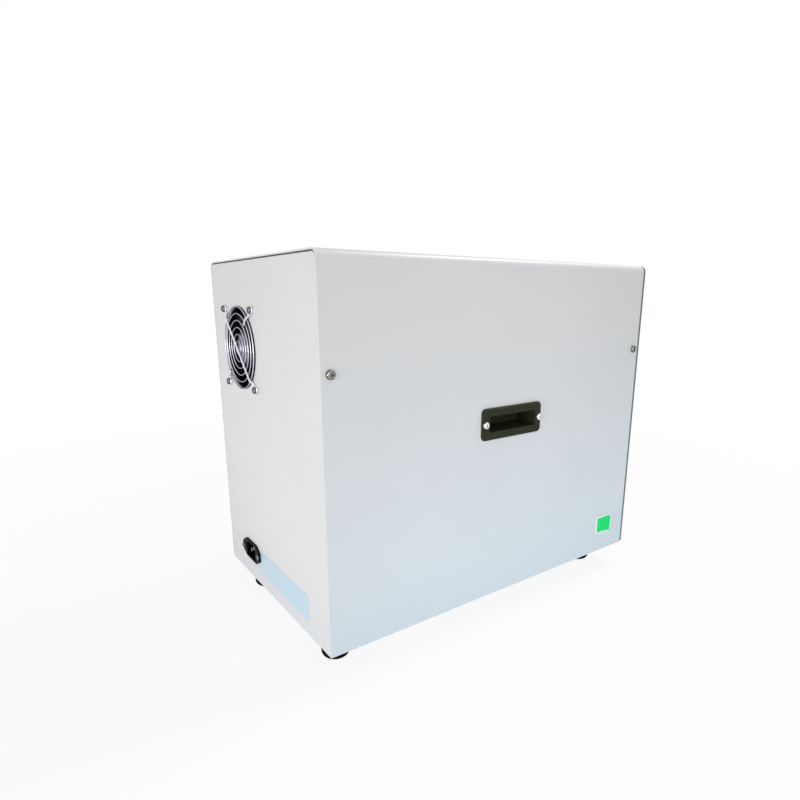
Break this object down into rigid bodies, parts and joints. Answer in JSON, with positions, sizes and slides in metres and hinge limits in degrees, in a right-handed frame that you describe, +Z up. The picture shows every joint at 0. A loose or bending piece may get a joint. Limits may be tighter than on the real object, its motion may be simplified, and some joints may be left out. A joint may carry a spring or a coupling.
{
  "type": "reflow oven",
  "caption": "Desktop reflow oven: bent sheet housing on rubber feet, sliding heated drawer with a window, side lifting pulls, rocker switch, rear fan with wire guard and mains inlet.",
  "frame": {"origin": "middle of the whole oven's footprint, on the surface that the feet stand on", "axes": "+X to the right seen from the front, +Y from the drawer to the rear panel, +Z up"},
  "size_m": [0.247, 0.4458, 0.348],
  "materials": {
    "cover_paint": "light grey powder coat",
    "fascia_paint": "dark teal grey powder coat",
    "drawer_paint": "light grey powder coat",
    "zinc_sheet": "zinc plated sheet",
    "slide_steel": "zinc plated, rolled",
    "stainless": "brushed stainless",
    "screw_steel": "nickel plated",
    "foot_rubber": "matt black rubber",
    "handle_plastic": "moulded dark olive black",
    "fan_plastic": "moulded black",
    "guard_wire": "chrome plated wire",
    "inlet_plastic": "moulded black",
    "contact_metal": "nickel plated brass",
    "switch_case": "moulded off white",
    "rocker_green": "translucent green",
    "display_glass": "clear pane",
    "screen": "dark screen",
    "circuit_board": "green board",
    "key_plastic": "moulded grey",
    "window_glass": "toughened glass",
    "window_rubber": "silicone",
    "fibre_seal": "braided glass fibre",
    "fibre_wool": "ceramic wool",
    "bar_handle": "black anodised",
    "quartz": "milky quartz",
    "heater_ceramic": "unglazed",
    "motor_paint": "black",
    "impeller_alloy": "mill finish",
    "sink_alloy": "extruded",
    "terminal_plastic": "moulded ivory"
  },
  "bodies": {
    "housing": {"base_pan": "zinc_sheet", "chamber_insulation": "fibre_wool", "chamber_jacket": "zinc_sheet", "chamber_liner": "stainless", "chamber_supports": "zinc_sheet", "circulation_motor": "motor_paint", "control_board": "circuit_board", "cover_screws": "screw_steel", "display_module": "screen", "display_window": "display_glass", "electronics_shelf": "zinc_sheet", "fan_frame": "fan_plastic", "fan_guard": "guard_wire", "fan_screws": "screw_steel", "foot_screws": "screw_steel", "front_fascia": "fascia_paint", "front_frame": "zinc_sheet", "handle_left": "handle_plastic", "handle_right": "handle_plastic", "handle_screws": "screw_steel", "heater_caps": "heater_ceramic", "heater_tubes": "quartz", "inlet_body": "inlet_plastic", "inlet_pins": "contact_metal", "inlet_screws": "screw_steel", "outer_cover": "cover_paint", "power_supply": "zinc_sheet", "rear_panel": "cover_paint", "relay_module": "sink_alloy", "rubber_feet": "foot_rubber", "slide_bracket_left": "zinc_sheet", "slide_bracket_right": "zinc_sheet", "slide_left_outer": "slide_steel", "slide_right_outer": "slide_steel", "switch_body": "switch_case", "terminal_block": "terminal_plastic", "thermocouple": "stainless"},
    "drawer": {"drawer_front": "drawer_paint", "drawer_inner_panel": "stainless", "window_glass_outer": "window_glass", "window_spacer": "window_rubber", "window_glass_inner": "window_glass", "drawer_seal": "fibre_seal", "drawer_handle": "bar_handle", "drawer_handle_screws": "screw_steel", "board_tray": "stainless", "drawer_side_left": "zinc_sheet", "drawer_side_right": "zinc_sheet", "slide_left_inner": "slide_steel", "slide_right_inner": "slide_steel"},
    "slide_middle_left": {"slide_left_middle": "slide_steel"},
    "slide_middle_right": {"slide_right_middle": "slide_steel"},
    "rocker": {"switch_rocker": "rocker_green"},
    "exhaust_rotor": {"fan_rotor": "fan_plastic"},
    "circulation_rotor": {"circulation_impeller": "impeller_alloy"},
    "menu_key": {"key_menu": "key_plastic"},
    "down_key": {"key_down": "key_plastic"},
    "up_key": {"key_up": "key_plastic"},
    "start_key": {"key_start": "key_plastic"},
    "stop_key": {"key_stop": "key_plastic"}
  },
  "joints": [
    {"name": "drawer_slide", "type": "slide", "parent": "housing", "child": "drawer", "axis": [0, -1, 0], "range_m": [0, 0.19]},
    {"name": "slide_left_travel", "type": "slide", "parent": "housing", "child": "slide_middle_left", "axis": [0, -1, 0], "range_m": [0, 0.095]},
    {"name": "slide_right_travel", "type": "slide", "parent": "housing", "child": "slide_middle_right", "axis": [0, -1, 0], "range_m": [0, 0.095]},
    {"name": "power_rocker", "type": "hinge", "parent": "housing", "child": "rocker", "pos_m": [-0.116, -0.13512, 0.0586], "axis": [0, 0, 1], "range_deg": [0, 22]},
    {"name": "exhaust_spin", "type": "hinge", "parent": "housing", "child": "exhaust_rotor", "pos_m": [0.047, 0.19248, 0.267], "axis": [0, 1, 0], "continuous": true},
    {"name": "circulation_spin", "type": "hinge", "parent": "housing", "child": "circulation_rotor", "pos_m": [0, 0.09127, 0.124], "axis": [0, 1, 0], "continuous": true},
    {"name": "key_menu_press", "type": "slide", "parent": "housing", "child": "menu_key", "axis": [0, 1, 0], "range_m": [0, 0.0008], "stiffness_N_per_m": 500, "springref_m": -0.002},
    {"name": "key_down_press", "type": "slide", "parent": "housing", "child": "down_key", "axis": [0, 1, 0], "range_m": [0, 0.0008], "stiffness_N_per_m": 500, "springref_m": -0.002},
    {"name": "key_up_press", "type": "slide", "parent": "housing", "child": "up_key", "axis": [0, 1, 0], "range_m": [0, 0.0008], "stiffness_N_per_m": 500, "springref_m": -0.002},
    {"name": "key_start_press", "type": "slide", "parent": "housing", "child": "start_key", "axis": [0, 1, 0], "range_m": [0, 0.0008], "stiffness_N_per_m": 500, "springref_m": -0.002},
    {"name": "key_stop_press", "type": "slide", "parent": "housing", "child": "stop_key", "axis": [0, 1, 0], "range_m": [0, 0.0008], "stiffness_N_per_m": 500, "springref_m": -0.002}
  ],
  "couplings": [
    {"joint": "slide_left_travel", "follows": "drawer_slide", "ratio": 0.5},
    {"joint": "slide_right_travel", "follows": "drawer_slide", "ratio": 0.5}
  ]
}
